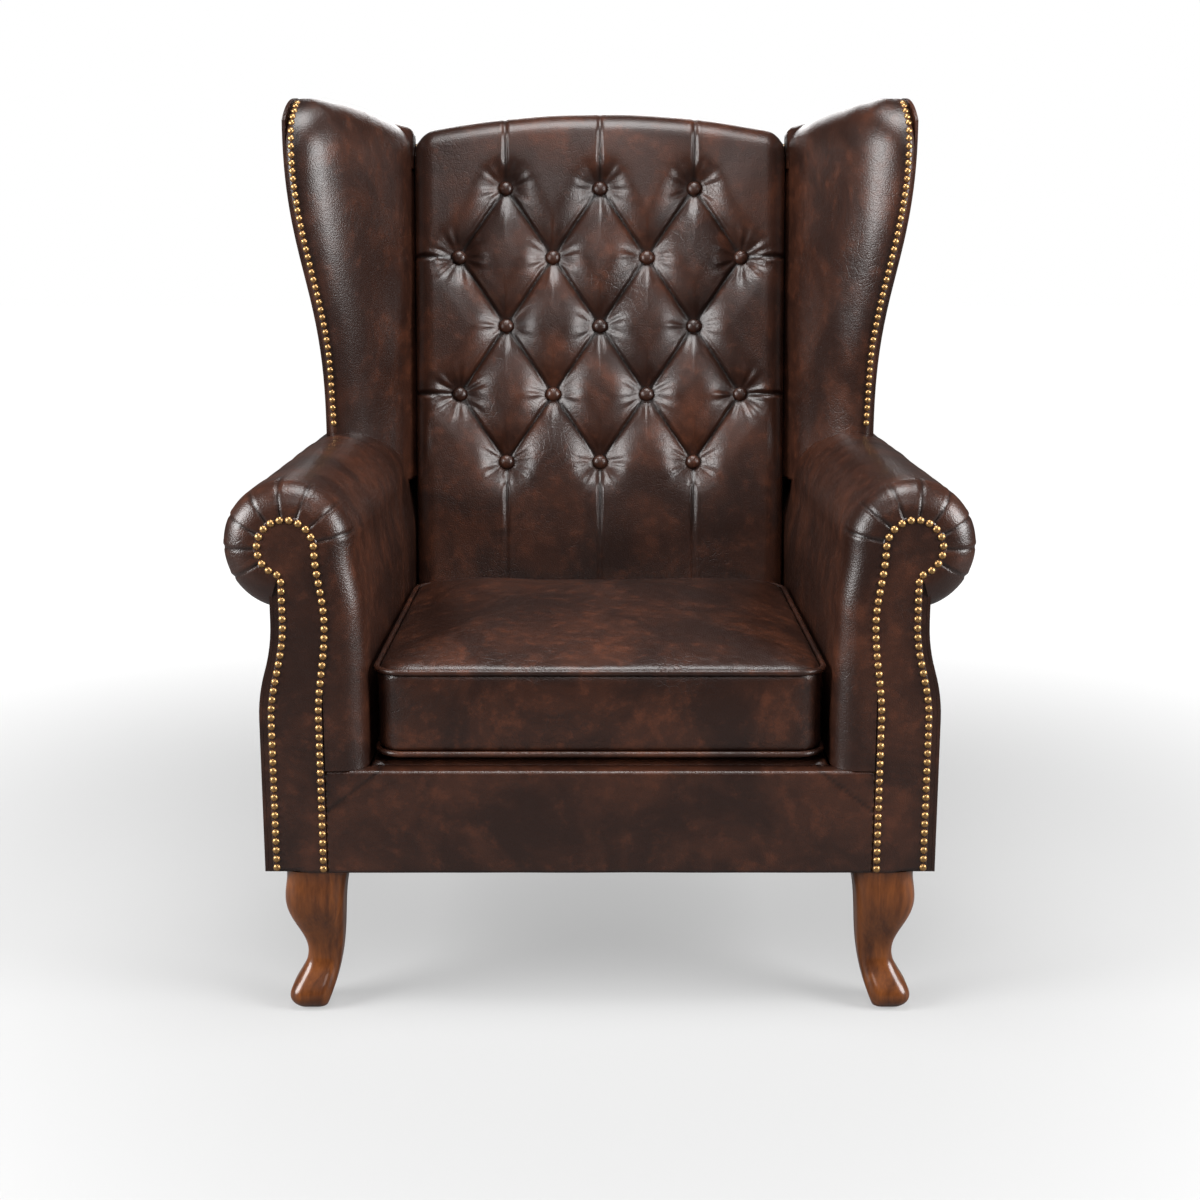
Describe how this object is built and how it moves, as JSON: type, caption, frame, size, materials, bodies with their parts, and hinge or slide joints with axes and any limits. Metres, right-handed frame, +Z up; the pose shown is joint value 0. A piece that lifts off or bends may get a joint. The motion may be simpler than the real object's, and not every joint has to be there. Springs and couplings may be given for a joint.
{
  "type": "wing armchair",
  "caption": "Button-tufted leather wing armchair with rolled arms, brass nail trim, cabriole front legs and a loose seat cushion that lifts out.",
  "frame": {"origin": "on the floor, under the middle of the chair's outer box", "axes": "+X to the right seen from the front, +Y towards the back, +Z up"},
  "size_m": [0.86, 0.76, 1.085],
  "materials": {
    "leather": "semi-gloss, mottled and creased",
    "nail_brass": "antique",
    "leg_wood": "stained and lacquered",
    "frame_wood": "sawn hardwood",
    "woven_cloth": "plain weave",
    "padding": "felted padding and foam",
    "bolt_steel": "zinc plated",
    "zip_metal": "antique",
    "zip_tape": "woven tape",
    "glide_plastic": "moulded"
  },
  "bodies": {
    "chair": {"back_buttons": "leather", "back_webbing": "woven_cloth", "button_twines": "woven_cloth", "corner_blocks": "frame_wood", "deck_cloth": "woven_cloth", "deck_pad": "padding", "dust_cover": "woven_cloth", "floor_glides": "glide_plastic", "front_rail_cover": "leather", "front_rail_pad": "padding", "front_seat_rail": "frame_wood", "left_arm_facing": "leather", "left_arm_lining": "woven_cloth", "left_arm_nails": "nail_brass", "left_arm_pad": "leather", "left_arm_rail": "frame_wood", "left_arm_scroll_board": "frame_wood", "left_back_post": "frame_wood", "left_front_leg": "leg_wood", "left_outside_arm_panel": "leather", "left_outside_wing_panel": "leather", "left_rear_leg": "leg_wood", "left_side_rail": "frame_wood", "left_tacking_rail": "frame_wood", "left_wing_board": "frame_wood", "left_wing_nails": "nail_brass", "left_wing_pad": "leather", "leg_bolts": "bolt_steel", "lower_back_rail": "frame_wood", "outside_back_panel": "leather", "platform_cover": "leather", "rear_seat_rail": "frame_wood", "right_arm_facing": "leather", "right_arm_lining": "woven_cloth", "right_arm_nails": "nail_brass", "right_arm_pad": "leather", "right_arm_rail": "frame_wood", "right_arm_scroll_board": "frame_wood", "right_back_post": "frame_wood", "right_front_leg": "leg_wood", "right_outside_arm_panel": "leather", "right_outside_wing_panel": "leather", "right_rear_leg": "leg_wood", "right_side_rail": "frame_wood", "right_tacking_rail": "frame_wood", "right_wing_board": "frame_wood", "right_wing_nails": "nail_brass", "right_wing_pad": "leather", "seat_cross_webbing": "woven_cloth", "seat_long_webbing": "woven_cloth", "top_rail": "frame_wood", "tufted_back": "leather"},
    "cushion": {"cushion_cover": "leather", "cushion_foam": "padding", "cushion_top_piping": "leather", "cushion_bottom_piping": "leather", "cushion_zip": "zip_tape"},
    "zip_slider": {"zip_slider": "zip_metal"}
  },
  "joints": [
    {"name": "cushion_lift", "type": "slide", "parent": "chair", "child": "cushion", "axis": [0, 0, 1], "range_m": [0, 0.8]},
    {"name": "zip_slide", "type": "slide", "parent": "cushion", "child": "zip_slider", "axis": [-1, 0, 0], "range_m": [0, 0.38]}
  ]
}
